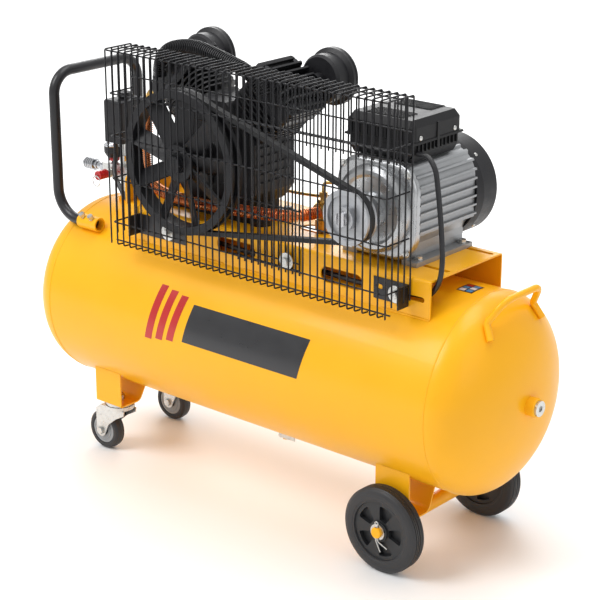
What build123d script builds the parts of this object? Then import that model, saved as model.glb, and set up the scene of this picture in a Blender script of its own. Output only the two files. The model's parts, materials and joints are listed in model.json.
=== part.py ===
from build123d import *
import math
import os

# Belt-driven, twin-cylinder (V) air compressor on a 100 litre horizontal receiver.
# Millimetres. +X runs along the tank towards the big wheels, -Y is the belt side, +Z is up.
# The model is drawn about the point of the floor under the tank's centre, and every solid is
# shifted at the end so that the origin is the bottom centre of the whole machine.

# ---- receiver (tank)
TANK_R = 178.0
TANK_WALL = 2.5
TANK_AXIS_Z = 309.0
SHELL_HALF = 446.5
HEAD_DEPTH = TANK_R / 2
TANK_TOP_Z = TANK_AXIS_Z + TANK_R
TANK_END_X = SHELL_HALF + HEAD_DEPTH

# ---- platform (folded sheet saddle on top of the tank)
SHEET = 3.0
PLAT_X0 = -306.0
PLAT_X1 = 400.0
PLAT_HALF_Y = 102.0
PLAT_TOP = 522.0
PLAT_FLANGE_TOP = 574.0

# ---- drive: crank, motor and belt share one plane
CRANK_X = -118.0
CRANK_Z = 640.0
MOTOR_X = 261.0
MOTOR_Z = 614.0
BELT_Y = -140.0
BELT_WIDTH = 12.0
BELT_THICK = 8.0
FLYWHEEL_R = 130.0
PULLEY_R = 47.5
CRANK_THROW = 19.0
ROD_LENGTH = 100.0
RUNNING = 0.05

# ---- V-twin pump, distances along each cylinder's axis from the crank axis
V_ANGLE = 45.0
BORE_R = 32.5
CYL_FOOT = 88.0
CYL_TOP = 158.0
HEAD_FOOT = 165.0
HEAD_BODY = 188.0
HEAD_HALF = 57.0
HEAD_HALF_Y = 50.0
CASE_FRONT = -58.0
CASE_REAR = 42.0

# ---- belt guard (welded wire)
WIRE_R = 1.5
GUARD_X0 = -275.0
GUARD_X1 = 360.0
GUARD_FRONT = -170.0
GUARD_REAR = -104.5
GUARD_TOP = 825.0
GUARD_BOTTOM = 466.0
GUARD_PITCH = (GUARD_X1 - GUARD_X0) / 40
GUARD_LEVELS = (745.5, 667.0, 588.0, 506.0)
GUARD_REAR_END = 705.0
TONGUE_X0 = -34.0
TONGUE_X1 = 124.0

# ---- running gear
WHEEL_R = 77.5
WHEEL_X = 346.0
WHEEL_Y = 144.5
WHEEL_W = 33.0
AXLE_R = 10.0
AXLE_TUBE_R = 13.0
HUB_SECTORS = 5
SECTOR_SLOPE = math.tan(math.radians(19))
CASTER_X = -350.0
CASTER_Y = 94.0
CASTER_R = 40.0
CASTER_TRAIL = 38.0
CASTER_W = 24.0
FOOT_OUTER_Y = 122.0
CASTER_FOOT_Z = 109.5
FOOT_WIDTH = 68.0

# ---- hand holds
HANDLE_R = 10.2
SOCKET_R = 13.5
HANDLE_Y = 109.3
HANDLE_Z = 466.2
HANDLE_X = -483.0
HANDLE_TOP = 742.5

# ---- controls at the left end
MANIFOLD_X = -408.0
GAUGE_X = -440.0
MANIFOLD_Z = 541.0
SWITCH_Z0 = 605.0
SWITCH_Z1 = 687.0

# ---- motor, whose housing is a rounded square with cooling ribs
MOTOR_FRONT = -61.0
MOTOR_BACK = 98.0
MOTOR_HALF = 80.0
MOTOR_CORNER = 46.0
STATOR_R = 74.0
RIB_PITCH = 15.5
MOTOR_MID_Y = 22.0
MOTOR_FOOT_X = (MOTOR_X - 68, MOTOR_X + 68)
MOTOR_FOOT_Y = 62.0

# ---- air lines
VALVE_X = 88.0
TUBE_OUT_R = 10.5

# ---- motor lead: its radius and the corners of its run from the box to the switch
LEAD_R = 4.5
LEAD = (
    (325, -46, 712), (348, -46, 712), (368, -52, 694), (383, -63, 655), (400, -76, 602), (411, -86, 555),
    (408, -88, 518),
    (386, -86, 489), (330, -82, 483), (230, -84, 480), (120, -80, 483), (10, -84, 480), (-100, -80, 483),
    (-210, -84, 488), (-300, -72, 494), (-360, -54, 512), (-402, -40, 548), (-410, -24, 580),
    (-410, -24, 605),
)


# ---------------------------------------------------------------- helpers
def cyl_x(x0, x1, y, z, r):
    return Pos((x0 + x1) / 2, y, z) * Rot(0, 90, 0) * Cylinder(r, x1 - x0)


def cyl_y(x, y0, y1, z, r):
    return Pos(x, (y0 + y1) / 2, z) * Rot(90, 0, 0) * Cylinder(r, y1 - y0)


def cyl_z(x, y, z0, z1, r):
    return Pos(x, y, (z0 + z1) / 2) * Cylinder(r, z1 - z0)


def block(x0, x1, y0, y1, z0, z1):
    return Pos((x0 + x1) / 2, (y0 + y1) / 2, (z0 + z1) / 2) * Box(x1 - x0, y1 - y0, z1 - z0)


def rounded(solid, axis, radius):
    return fillet(solid.edges().filter_by(axis), radius)


def slab_y(sketch, y0, y1):
    """A flat outline (X, Z) extruded from y0 to y1."""
    return Pos(0, y1, 0) * Rot(90, 0, 0) * extrude(sketch, y1 - y0)


def slab_x(sketch, x0, x1):
    """A flat outline (Y, Z) extruded from x0 to x1."""
    return Plane.YZ.offset(x0).location * extrude(sketch, x1 - x0)


def hex_z(x, y, z0, z1, across):
    return Pos(x, y, z0) * extrude(RegularPolygon(across / 2, 6, major_radius=False), z1 - z0)


def ring_profile(points):
    """A closed solid of revolution about the local Z axis from (radius, height) points."""
    return revolve(Plane.XZ * make_face(Polyline(*points, close=True)), Axis.Z)


def facing_front(solid, x, y, z):
    """Turn a solid made about local +Z so that its +Z points to the front (-Y)."""
    return Pos(x, y, z) * Rot(90, 0, 0) * solid


def tube(points, radii, r):
    """A round bar along straight runs joined by tangent arcs."""
    path = FilletPolyline(*points, radius=radii)
    section = Plane(origin=path @ 0, z_dir=path % 0) * Circle(r)
    return sweep(section, path=path)


def largest_radii(points, share=0.45):
    """The largest arc at each corner that leaves part of both runs straight."""
    radii = []
    for before, corner, after in zip(points, points[1:], points[2:]):
        arriving = Vector(*corner) - Vector(*before)
        leaving = Vector(*after) - Vector(*corner)
        turn = math.radians(arriving.get_angle(leaving))
        radii.append(share * min(arriving.length, leaving.length) / math.tan(turn / 2))
    return radii


def mirrored_y(shape):
    return mirror(shape, Plane.XZ)


def both_sides(shape):
    return [shape, mirrored_y(shape)]


def bolt_z(x, y, z, across=13.0, head=5.5, washer=9.0):
    """A hexagon head on a washer, standing on a face at height z."""
    return cyl_z(x, y, z, z + 1.5, washer) + hex_z(x, y, z + 1.5, z + 1.5 + head, across)


def on_cylinder_axis(side, t, across=0.0, y=0.0):
    """The point at distance t along a cylinder's axis and across it, away from the middle."""
    a = math.radians(V_ANGLE)
    x = CRANK_X + side * (t * math.sin(a) + across * math.cos(a))
    z = CRANK_Z + t * math.cos(a) - across * math.sin(a)
    return (x, y, z)


def cylinder_frame(side):
    """Local +Z along the cylinder's axis, local +X away from the middle of the machine, Y as is."""
    return Pos(CRANK_X, 0, CRANK_Z) * Rot(0, side * V_ANGLE, 0)


# ---------------------------------------------------------------- receiver
def ellipsoid_head(r, depth):
    quarter = EllipticalCenterArc((0, 0), depth, r, 0, arc_size=90)
    outline = [quarter, Line((0, r), (0, 0)), Line((0, 0), (depth, 0))]
    return revolve(make_face(outline), Axis.X)


def tank_envelope():
    head = ellipsoid_head(TANK_R, HEAD_DEPTH)
    body = cyl_x(-SHELL_HALF, SHELL_HALF, 0, 0, TANK_R)
    body += Pos(SHELL_HALF, 0, 0) * head
    body += Pos(-SHELL_HALF, 0, 0) * Rot(0, 0, 180) * head
    return Pos(0, 0, TANK_AXIS_Z) * body


TANK = tank_envelope()


def make_tank(parts):
    parts["tank_shell"] = cyl_x(-SHELL_HALF, SHELL_HALF, 0, TANK_AXIS_Z, TANK_R) - cyl_x(
        -SHELL_HALF, SHELL_HALF, 0, TANK_AXIS_Z, TANK_R - TANK_WALL
    )
    head = ellipsoid_head(TANK_R, HEAD_DEPTH) - ellipsoid_head(TANK_R - TANK_WALL, HEAD_DEPTH - TANK_WALL)
    right = Pos(SHELL_HALF, 0, TANK_AXIS_Z) * head
    left = Pos(-SHELL_HALF, 0, TANK_AXIS_Z) * Rot(0, 0, 180) * head
    parts["tank_heads"] = [left, right]

    end_boss = cyl_x(TANK_END_X - 8, TANK_END_X + 16, 0, TANK_AXIS_Z, 16.5)
    end_boss = fillet(end_boss.edges().sort_by(Axis.X)[-1], 2)
    riser_boss = cyl_z(MANIFOLD_X, 0, TANK_TOP_Z - 6, TANK_TOP_Z + 8, 17)
    valve_boss = cyl_z(VALVE_X, 0, TANK_TOP_Z - 6, TANK_TOP_Z + 8, 17)
    drain_boss = cyl_z(0, 0, TANK_AXIS_Z - TANK_R - 8, TANK_AXIS_Z - TANK_R + 6, 15)
    socket = cyl_x(-421, -371, -HANDLE_Y, HANDLE_Z, SOCKET_R) - cyl_x(-421, -371, -HANDLE_Y, HANDLE_Z, 10.6)
    bosses = [end_boss, riser_boss, valve_boss, drain_boss]
    parts["welded_bosses"] = [b - TANK for b in bosses] + both_sides(socket - TANK)
    key = Pos(0, 0, 1) * extrude(RegularPolygon(5, 6, major_radius=False), 4)
    plug = Cylinder(13.5, 4, align=(Align.CENTER, Align.CENTER, Align.MIN)) - key
    plug = Pos(TANK_END_X + 16, 0, TANK_AXIS_Z) * Rot(0, 90, 0) * plug
    drain_z = TANK_AXIS_Z - TANK_R - 8
    parts["drain_valve"] = cyl_z(0, 0, drain_z - 26, drain_z, 7) + cyl_y(0, -13, 13, drain_z - 14, 6)
    lever = cyl_y(0, -17, -13.3, drain_z - 14, 5) + block(-3, 34, -17, -14, drain_z - 18, drain_z - 10)
    parts["drain_lever"] = lever
    return plug


# ---------------------------------------------------------------- platform and feet
def obround(length, height):
    return SlotOverall(length, height)


def make_platform(parts):
    outer = block(PLAT_X0, PLAT_X1, -PLAT_HALF_Y, PLAT_HALF_Y, TANK_AXIS_Z, PLAT_TOP)
    outer = fillet(outer.edges().filter_by(Axis.X).group_by(Axis.Z)[-1], 5)
    inner = block(
        PLAT_X0, PLAT_X1, -PLAT_HALF_Y + SHEET, PLAT_HALF_Y - SHEET, TANK_AXIS_Z, PLAT_TOP - SHEET
    )
    inner = fillet(inner.edges().filter_by(Axis.X).group_by(Axis.Z)[-1], 2)
    platform = outer - inner - TANK
    flange = block(PLAT_X0, PLAT_X0 + SHEET, -PLAT_HALF_Y, PLAT_HALF_Y, PLAT_TOP - SHEET, PLAT_FLANGE_TOP)
    platform += fillet(flange.edges().filter_by(Axis.X).group_by(Axis.Z)[-1], 10)
    for x, z in ((-28, 490), (213, 487)):
        platform -= slab_y(Pos(x, z) * obround(92, 28), -PLAT_HALF_Y - 5, PLAT_HALF_Y + 5)
    platform -= slab_y(Pos(366, 487) * obround(44, 9), -PLAT_HALF_Y - 5, -PLAT_HALF_Y + 5)
    platform -= Pos(VALVE_X - 12, 0, PLAT_TOP - 10) * extrude(obround(72, 40), 20)
    for x in (MOTOR_FOOT_X[0] + 20, MOTOR_FOOT_X[1] + 27):
        for y in (-MOTOR_FOOT_Y, MOTOR_FOOT_Y):
            platform -= Pos(x, y + MOTOR_MID_Y, PLAT_TOP - 10) * extrude(obround(74, 9), 20)
    parts["platform"] = platform


def foot_profile(bottom, outer_y, inner_low_y, inner_top):
    """A strip folded into a U: straight outer wall, sharp fold, flat sole, round bend, sloping inner wall."""
    centre = bottom + SHEET / 2
    points = ((-outer_y, 215), (-outer_y, centre), (-inner_low_y, centre), inner_top)
    return trace(FilletPolyline(*points, radius=[2.5, 16]), SHEET)


def make_feet(parts):
    sole = foot_profile(CASTER_FOOT_Z, FOOT_OUTER_Y, 72, (-44, 160))
    foot = slab_x(sole, CASTER_X - FOOT_WIDTH / 2, CASTER_X + FOOT_WIDTH / 2) - TANK
    foot -= cyl_z(CASTER_X, -CASTER_Y, 90, 130, 6.2)
    parts["caster_brackets"] = both_sides(foot)
    axle_top = WHEEL_R + AXLE_TUBE_R
    sole = foot_profile(axle_top, FOOT_OUTER_Y + 1, 66, (-40, 160))
    foot = slab_x(sole, WHEEL_X - 36, WHEEL_X + 36) - TANK
    parts["wheel_brackets"] = both_sides(foot)


# ---------------------------------------------------------------- wheels
def make_big_wheels(parts):
    half = WHEEL_W / 2
    rod = cyl_y(WHEEL_X, -169, 169, WHEEL_R, AXLE_R)
    rod = fillet(rod.edges().sort_by(Axis.Y)[0], 2)
    rod = fillet(rod.edges().sort_by(Axis.Y)[-1], 2)
    axle = rod + cyl_y(WHEEL_X, -126, 126, WHEEL_R, AXLE_TUBE_R)
    pins = []
    washers = []
    for side in (-1, 1):
        y_pin = side * 165.5
        axle -= cyl_z(WHEEL_X, y_pin, 0, 200, 2.6)
        leg = tube(((0, 0, 17), (0, 0, -15), (10, 0, -34)), [8], 1.1)
        other = tube(((2.4, 0, 15), (2.4, 0, -15), (24, 0, -24)), [8], 1.1)
        pin = leg + other + Pos(1.2, 0, 17) * Rot(90, 0, 0) * (Torus(3.2, 1.1))
        pins.append(Pos(WHEEL_X - 1.2, y_pin, WHEEL_R) * pin)
        face = WHEEL_Y + half + 0.4
        ys = sorted((side * face, side * (face + 2)))
        hole = cyl_y(WHEEL_X, -200, 200, WHEEL_R, AXLE_R)
        washers.append(cyl_y(WHEEL_X, ys[0], ys[1], WHEEL_R, 14.5) - hole)
    parts["wheel_axle"] = axle
    parts["axle_retainers"] = washers + pins

    rim_r = 53.0
    tyre = ring_profile(
        (
            (rim_r, -half + 2), (rim_r + 3, -half), (WHEEL_R - 7, -half), (WHEEL_R, -half + 6),
            (WHEEL_R, half - 6), (WHEEL_R - 7, half), (rim_r + 3, half), (rim_r, half - 2),
        )
    )
    for k in range(5):
        groove = Pos(0, 0, (k - 2) * 4.6) * (Cylinder(WHEEL_R + 1, 1.2) - Cylinder(WHEEL_R - 1.4, 1.2))
        tyre -= groove
    hub = Cylinder(rim_r, WHEEL_W - 8) - Cylinder(AXLE_R + RUNNING, WHEEL_W * 2)
    hub += Cylinder(18, WHEEL_W) - Cylinder(AXLE_R + RUNNING, WHEEL_W * 2)
    sector = make_face(Polyline((0, 0), (60, -60 * SECTOR_SLOPE), (60, 60 * SECTOR_SLOPE), close=True))
    sector = (sector & Circle(46)) - Circle(20)
    pocket = extrude(fillet(sector.vertices(), 3), 9)
    for k in range(HUB_SECTORS):
        for z in (half - 4 - 9, -half + 4):
            hub -= Rot(0, 0, 360 / HUB_SECTORS * k) * Pos(0, 0, z) * pocket
    for name, side in (("front", -1), ("rear", 1)):
        place = Pos(WHEEL_X, side * WHEEL_Y, WHEEL_R) * Rot(90, 0, 0)
        parts["wheel_tyre_" + name] = place * tyre
        parts["wheel_hub_" + name] = place * hub


def fork_leg():
    """Side plate of a caster, in (X, Z) about the swivel axis at the floor."""
    outline = (
        (-CASTER_TRAIL - 12, CASTER_R), (-CASTER_TRAIL - 12, 86), (-CASTER_TRAIL, 95.5), (28, 95.5),
        (26, 86), (4, 74), (-17, 57), (-CASTER_TRAIL + 12, CASTER_R - 2),
    )
    return make_face(Polyline(*outline, close=True)) + Pos(-CASTER_TRAIL, CASTER_R) * Circle(12)


def make_casters(parts):
    race_top = CASTER_FOOT_Z
    race_low = 95.5
    stem_r = 5.9
    stem = cyl_z(0, 0, 90, 128, stem_r) + cyl_z(0, 0, race_top - 6, race_top, 27)
    stem += hex_z(0, 0, race_top + SHEET, race_top + SHEET + 9, 19)
    gap = 15.0
    leg = fork_leg()
    yoke = cyl_z(0, 0, race_low, race_top - 6.5, 29)
    yoke += block(-CASTER_TRAIL, 20, -gap - 2.5, gap + 2.5, race_low - 2.5, race_low)
    yoke += slab_y(leg, -gap - 2.5, -gap) + slab_y(leg, gap, gap + 2.5)
    yoke -= cyl_z(0, 0, 80, 130, stem_r + RUNNING)
    yoke -= cyl_y(-CASTER_TRAIL, -40, 40, CASTER_R, 4)
    bolt = cyl_y(-CASTER_TRAIL, -gap - 2.5, gap + 2.5, CASTER_R, 4)
    for y0, turn in ((-gap - 2.5, 90), (gap + 2.5, -90)):
        head = extrude(RegularPolygon(6.5, 6, major_radius=False), 5)
        bolt += Pos(-CASTER_TRAIL, y0, CASTER_R) * Rot(turn, 0, 0) * head
    half = CASTER_W / 2
    tyre = ring_profile(
        (
            (28, -half + 1), (30, -half), (CASTER_R - 5, -half), (CASTER_R - 1, -half + 4), (CASTER_R, 0),
            (CASTER_R - 1, half - 4), (CASTER_R - 5, half), (30, half), (28, half - 1),
        )
    )
    hub = Cylinder(28, CASTER_W - 4) + Cylinder(9, CASTER_W + 3)
    hub -= Pos(0, 0, half - 2) * (Cylinder(25, 6) - Cylinder(10, 6))
    hub -= Pos(0, 0, -half + 2) * (Cylinder(25, 6) - Cylinder(10, 6))
    hub -= Cylinder(4 + RUNNING, 60)
    stems = []
    for name, side in (("front", -1), ("rear", 1)):
        place = Pos(CASTER_X, side * CASTER_Y, 0)
        stems.append(place * stem)
        parts["caster_fork_" + name] = [place * yoke, place * bolt]
        wheel = place * Pos(-CASTER_TRAIL, 0, CASTER_R) * Rot(90, 0, 0)
        parts["caster_wheel_" + name] = [wheel * tyre, wheel * hub]
    parts["caster_stems"] = stems


# ---------------------------------------------------------------- hand holds
def make_handles(parts):
    low = -385.0
    path = (
        (low, -HANDLE_Y, HANDLE_Z), (HANDLE_X, -HANDLE_Y, HANDLE_Z), (HANDLE_X, -HANDLE_Y, HANDLE_TOP),
        (HANDLE_X, HANDLE_Y, HANDLE_TOP), (HANDLE_X, HANDLE_Y, HANDLE_Z), (low, HANDLE_Y, HANDLE_Z),
    )
    parts["push_handle"] = tube(path, [54, 42, 42, 54], HANDLE_R)
    grip = ((502, -75, 437), (488, -67, 462), (510, -52, 500), (510, 52, 500), (488, 67, 462), (502, 75, 437))
    parts["grab_handle"] = tube(grip, [8, 26, 26, 8], 6) - TANK


# ---------------------------------------------------------------- motor


def motor_outline(proud):
    """The motor's rounded-square section, grown by so much."""
    return RectangleRounded(2 * (MOTOR_HALF + proud), 2 * (MOTOR_HALF + proud), MOTOR_CORNER + proud)


def make_motor(parts):
    ribs = motor_outline(0)
    for k in range(-4, 5):
        for turn in (0, 90, 180, 270):
            rib = Rectangle(2 * MOTOR_HALF + 10, 3.2, align=(Align.MIN, Align.CENTER))
            inside = rib & Pos(0, -RIB_PITCH * k) * motor_outline(5)
            ribs += Rot(0, 0, turn) * Pos(0, RIB_PITCH * k) * inside
    drop = MOTOR_Z - PLAT_TOP
    pedestal = Polyline((-79, -drop), (79, -drop), (79, -drop + 8), (58, -drop + 8), (54, -40),
                        (-54, -40), (-58, -drop + 8), (-79, -drop + 8), close=True)
    section = ribs
    for side in (-1, 1):
        waist = Polyline((side * 67.5, -38), (side * 110, -38), (side * 110, -84), (side * 58, -84),
                         (side * 58, -60), close=True)
        section -= make_face(waist)
    section = section + make_face(pedestal) - Circle(STATOR_R)
    section -= Pos(0, -drop + 4) * Rectangle(96, 9)
    body = slab_y(section, MOTOR_FRONT, MOTOR_BACK)
    holes = [(x, y + MOTOR_MID_Y) for x in MOTOR_FOOT_X for y in (-MOTOR_FOOT_Y, MOTOR_FOOT_Y)]
    body = Pos(MOTOR_X, 0, MOTOR_Z) * body
    parts["motor_housing"] = body

    front = extrude(motor_outline(4), 13)
    front = fillet(front.edges().group_by(Axis.Z)[-1], 8)
    dish = ring_profile(
        ((12.3, 10), (76, 10), (74, 22), (67, 28), (60, 29), (55, 25), (30, 22), (27, 33), (12.3, 33))
    )
    front += dish
    front -= Cylinder(12.3, 100)
    rear = ring_profile(((12.3, 0), (80, 0), (80, 8), (40, 14), (12.3, 14)))
    shaft_axis = (MOTOR_X, MOTOR_FRONT, MOTOR_Z)
    rear = Pos(MOTOR_X, MOTOR_BACK, MOTOR_Z) * Rot(-90, 0, 0) * rear
    parts["motor_end_shields"] = [facing_front(front, *shaft_axis), rear]

    wall = 2.5
    cowl = ring_profile(
        (
            (83, 0), (83 + wall, 0), (89, 16), (89, 54), (84, 61), (20, 61), (20, 61 - wall),
            (83, 61 - wall), (89 - wall, 53), (89 - wall, 16),
        )
    )
    for k in range(12):
        for r0, r1 in ((26, 48), (54, 76)):
            slot = Rot(0, 0, 30 * k) * Pos((r0 + r1) / 2, 0, 60) * Box(r1 - r0, 5, 8)
            cowl -= slot
    cowl += Pos(0, 0, 61 - wall / 2) * Cylinder(20.5, wall)
    parts["fan_cowl"] = Pos(MOTOR_X, MOTOR_BACK, MOTOR_Z) * Rot(-90, 0, 0) * cowl

    stator = cyl_y(0, -45, 80, 0, STATOR_R) - cyl_y(0, -45, 80, 0, 45)
    parts["motor_stator"] = Pos(MOTOR_X, 0, MOTOR_Z) * stator
    shaft = cyl_y(0, -164, 150, 0, 12.25) + cyl_y(0, -38, 72, 0, 44.4)
    parts["motor_rotor"] = Pos(MOTOR_X, 0, MOTOR_Z) * shaft
    fan = cyl_y(0, 116, 146, 0, 20) - cyl_y(0, 110, 152, 0, 12.25)
    for k in range(8):
        fan += Rot(0, 45 * k, 0) * block(16, 74, 118, 144, -1.5, 1.5)
    parts["cooling_fan"] = Pos(MOTOR_X, 0, MOTOR_Z) * fan
    feet = [bolt_z(x, y, PLAT_TOP + 8, across=12, head=4.5, washer=8.5) for x, y in holes]
    return feet


def make_terminal_box(parts):
    x0, x1 = 190.0, 325.0
    y0, y1 = -60.0, 74.0
    split, top = 729.0, 767.0
    drum = Pos(MOTOR_X, 0, MOTOR_Z) * slab_y(motor_outline(5.2), -200, 200)
    base = rounded(block(x0, x1, y0, y1, 696, split), Axis.Z, 10)
    base = chamfer(base.edges().group_by(Axis.Z)[0], 14, 7)
    base -= block(x0 + 3, x1 - 3, y0 + 3, y1 - 3, 704, split)
    parts["terminal_box"] = base - drum
    cover = rounded(block(x0 - 2, x1 + 2, y0 - 2, y1 + 2, split, top), Axis.Z, 12)
    cover = chamfer(cover.edges().group_by(Axis.Z)[-1], 12, 9)
    hollow = rounded(block(x0 + 2, x1 - 2, y0 + 2, y1 - 2, split, top - 3.5), Axis.Z, 9)
    hollow = chamfer(hollow.edges().group_by(Axis.Z)[-1], 11, 8)
    cover -= hollow
    for side in (-1, 1):
        for k in range(7):
            y = (y0 + y1) / 2 + side * 38 + (k - 3) * 6
            cover -= block(x0 + 34, x1 - 34, y - 1.5, y + 1.5, top - 10, top + 1)
    for k in range(15):
        x = x0 + 12 + k * 8
        cover -= block(x - 1.6, x + 1.6, y0 - 4, y0 - 0.5, split + 4, top - 12)
    parts["terminal_box_cover"] = cover
    cans = [cyl_y(x, -44, 58, 722, 15.5) for x in (MOTOR_X - 44, MOTOR_X + 40)]
    parts["capacitors"] = cans


# ---------------------------------------------------------------- belt drive
def belt_outline(r_fly, r_pulley):
    """The loop round both wheels, in (X, Z): two circles and their outer tangents."""
    span_x = MOTOR_X - CRANK_X
    span_z = MOTOR_Z - CRANK_Z
    slope = math.atan2(span_z, span_x)
    lean = math.acos((r_fly - r_pulley) / math.hypot(span_x, span_z))
    corners = []
    for x, z, r, turn in (
        (CRANK_X, CRANK_Z, r_fly, lean), (MOTOR_X, MOTOR_Z, r_pulley, lean),
        (MOTOR_X, MOTOR_Z, r_pulley, -lean), (CRANK_X, CRANK_Z, r_fly, -lean),
    ):
        corners.append((x + r * math.cos(slope + turn), z + r * math.sin(slope + turn)))
    loop = make_face(Polyline(*corners, close=True))
    return loop + Pos(CRANK_X, CRANK_Z) * Circle(r_fly) + Pos(MOTOR_X, MOTOR_Z) * Circle(r_pulley)


def groove_ring(r, depth, width):
    return Cylinder(r + 1, width) - Cylinder(r - depth, width)


def make_drive(parts):
    gap = 0.3
    proud = 0.8
    depth = BELT_THICK + gap - proud
    y0 = BELT_Y - BELT_WIDTH / 2
    y1 = BELT_Y + BELT_WIDTH / 2
    outer = belt_outline(FLYWHEEL_R + proud, PULLEY_R + proud)
    inner = belt_outline(FLYWHEEL_R + proud - BELT_THICK, PULLEY_R + proud - BELT_THICK)
    parts["drive_belt"] = slab_y(outer, y0, y1) - slab_y(inner, y0 - 1, y1 + 1)

    rim_w = 28.0
    rim = Cylinder(FLYWHEEL_R, rim_w) - Cylinder(FLYWHEEL_R - 15, rim_w)
    rim -= groove_ring(FLYWHEEL_R, depth, BELT_WIDTH + 2 * gap)
    wheel = rim + Cylinder(33, 26)
    blade = Pos(74, 0, 0) * Rot(32, 0, 0) * Box(92, 34, 4)
    for k in range(9):
        wheel += Rot(0, 0, 40 * k + 5) * blade
    wheel &= Cylinder(FLYWHEEL_R, rim_w)
    wheel -= Cylinder(14, 60)
    parts["flywheel"] = facing_front(wheel, CRANK_X, BELT_Y, CRANK_Z)

    sheave = Cylinder(PULLEY_R, 24) + Pos(0, 0, 9) * Cylinder(20, 18)
    sheave -= groove_ring(PULLEY_R, depth, BELT_WIDTH + 2 * gap)
    sheave -= Pos(0, 0, 10) * (Cylinder(38, 6) - Cylinder(20, 6))
    sheave -= Cylinder(12.25, 80)
    parts["motor_pulley"] = facing_front(sheave, MOTOR_X, BELT_Y, MOTOR_Z)


# ---------------------------------------------------------------- pump
def case_outline(inset):
    """Half-symmetrical crankcase section about the crank axis, in (X, Z)."""
    roof = CYL_FOOT - inset
    across = 48.0 - inset * 0.4
    a = math.radians(V_ANGLE)
    high = (roof * math.sin(a) - across * math.cos(a), roof * math.cos(a) + across * math.sin(a))
    low = (roof * math.sin(a) + across * math.cos(a), roof * math.cos(a) - across * math.sin(a))
    right = [high, low, (low[0], -62 + inset), (74 - inset, -90 + inset)]
    left = [(-x, z) for x, z in reversed(right)]
    return make_face(Polyline(*right, *left, close=True))


def make_crankcase(parts):
    body = slab_y(case_outline(0), CASE_FRONT, CASE_REAR)
    body -= slab_y(case_outline(8), CASE_FRONT + 8, CASE_REAR + 1)
    drop = PLAT_TOP - CRANK_Z
    body += block(-66, 66, CASE_FRONT, CASE_REAR, drop + 8, -86)
    body += block(-74, 74, CASE_FRONT, CASE_REAR, drop, drop + 10)
    for side in (-1, 1):
        for y in (CASE_FRONT + 16, CASE_REAR - 16):
            body += cyl_z(side * 98, y, drop, drop + 10, 19)
            x0, x1 = sorted((side * 70, side * 98))
            body += block(x0, x1, y - 12, y + 12, drop, drop + 10)
    for level in (-44, -28, -12, 4, 20):
        body += block(-100, 100, CASE_FRONT + 6, CASE_REAR - 4, level - 1.5, level + 1.5) - slab_y(
            case_outline(4), -200, 200
        )
    for side in (-1, 1):
        body -= Rot(0, side * V_ANGLE, 0) * Pos(0, 0, CYL_FOOT - 10) * Cylinder(BORE_R, 40)
    body -= cyl_y(0, -200, 0, 0, 30)
    parts["crankcase"] = Pos(CRANK_X, 0, CRANK_Z) * body

    nose = ring_profile(
        ((12.6, -2), (29.9, -2), (29.9, 0), (56, 0), (56, 7), (40, 11), (34, 26), (12.6, 26))
    )
    for k in range(6):
        nose += Rot(0, 0, 60 * k + 30) * Pos(44, 0, 10) * Box(22, 5, 14)
    nose -= Cylinder(12.6, 120)
    plate = slab_y(case_outline(1), CASE_REAR, CASE_REAR + 8)
    plate -= slab_y(Circle(15), CASE_REAR, CASE_REAR + 4)
    parts["crankcase_covers"] = [
        facing_front(nose, CRANK_X, CASE_FRONT, CRANK_Z),
        Pos(CRANK_X, 0, CRANK_Z) * plate,
    ]


def one_cylinder():
    barrel = Pos(0, 0, (CYL_FOOT + CYL_TOP) / 2) * Cylinder(BORE_R + 6, CYL_TOP - CYL_FOOT)
    barrel += Pos(0, 0, CYL_FOOT + 4) * rounded_slab(94, 94, 8, 10)
    for k in range(6):
        barrel += Pos(0, 0, CYL_FOOT + 17 + k * 9) * rounded_slab(110, 100, 3, 22)
    barrel += Pos(0, 0, CYL_TOP - 4) * rounded_slab(112, 100, 8, 10)
    return barrel - Pos(0, 0, 120) * Cylinder(BORE_R, 200)


def rounded_slab(width, length, height, corner):
    return Pos(0, 0, -height / 2) * extrude(RectangleRounded(width, length, corner), height)


def one_head():
    thick = HEAD_BODY - HEAD_FOOT
    body = Pos(0, 0, HEAD_FOOT + thick / 2) * rounded_slab(2 * HEAD_HALF, 2 * HEAD_HALF_Y, thick, 8)
    for k in range(-3, 4):
        across = 16.0 * k
        top = 214 - 0.0078 * across * across
        fin_len = 2 * HEAD_HALF_Y
        outline = Polyline((-fin_len / 2, HEAD_BODY - 4), (fin_len / 2, HEAD_BODY - 4),
                           (fin_len / 2 - 4, top - 9), (fin_len / 2 - 12, top),
                           (-fin_len / 2 + 12, top), (-fin_len / 2, top - 12), close=True)
        body += slab_x(make_face(outline), across - 1.75, across + 1.75)
    for side in (-1, 1):
        for level in (-5, 3):
            z = (HEAD_FOOT + HEAD_BODY) / 2 + level
            x = side * HEAD_HALF
            body -= Pos(x, 0, z) * Box(6, 2 * HEAD_HALF_Y + 2, 4)
    body -= Pos(0, 0, HEAD_FOOT + 5) * rounded_slab(70, 70, 10, 8)
    return body


def one_piston():
    crown_top, skirt = 138.0, 92.0
    piston = Pos(0, 0, (crown_top + skirt) / 2) * Cylinder(BORE_R - RUNNING, crown_top - skirt)
    return piston - Pos(0, 0, (130 + skirt) / 2) * Cylinder(29.2, 130 - skirt)


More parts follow.
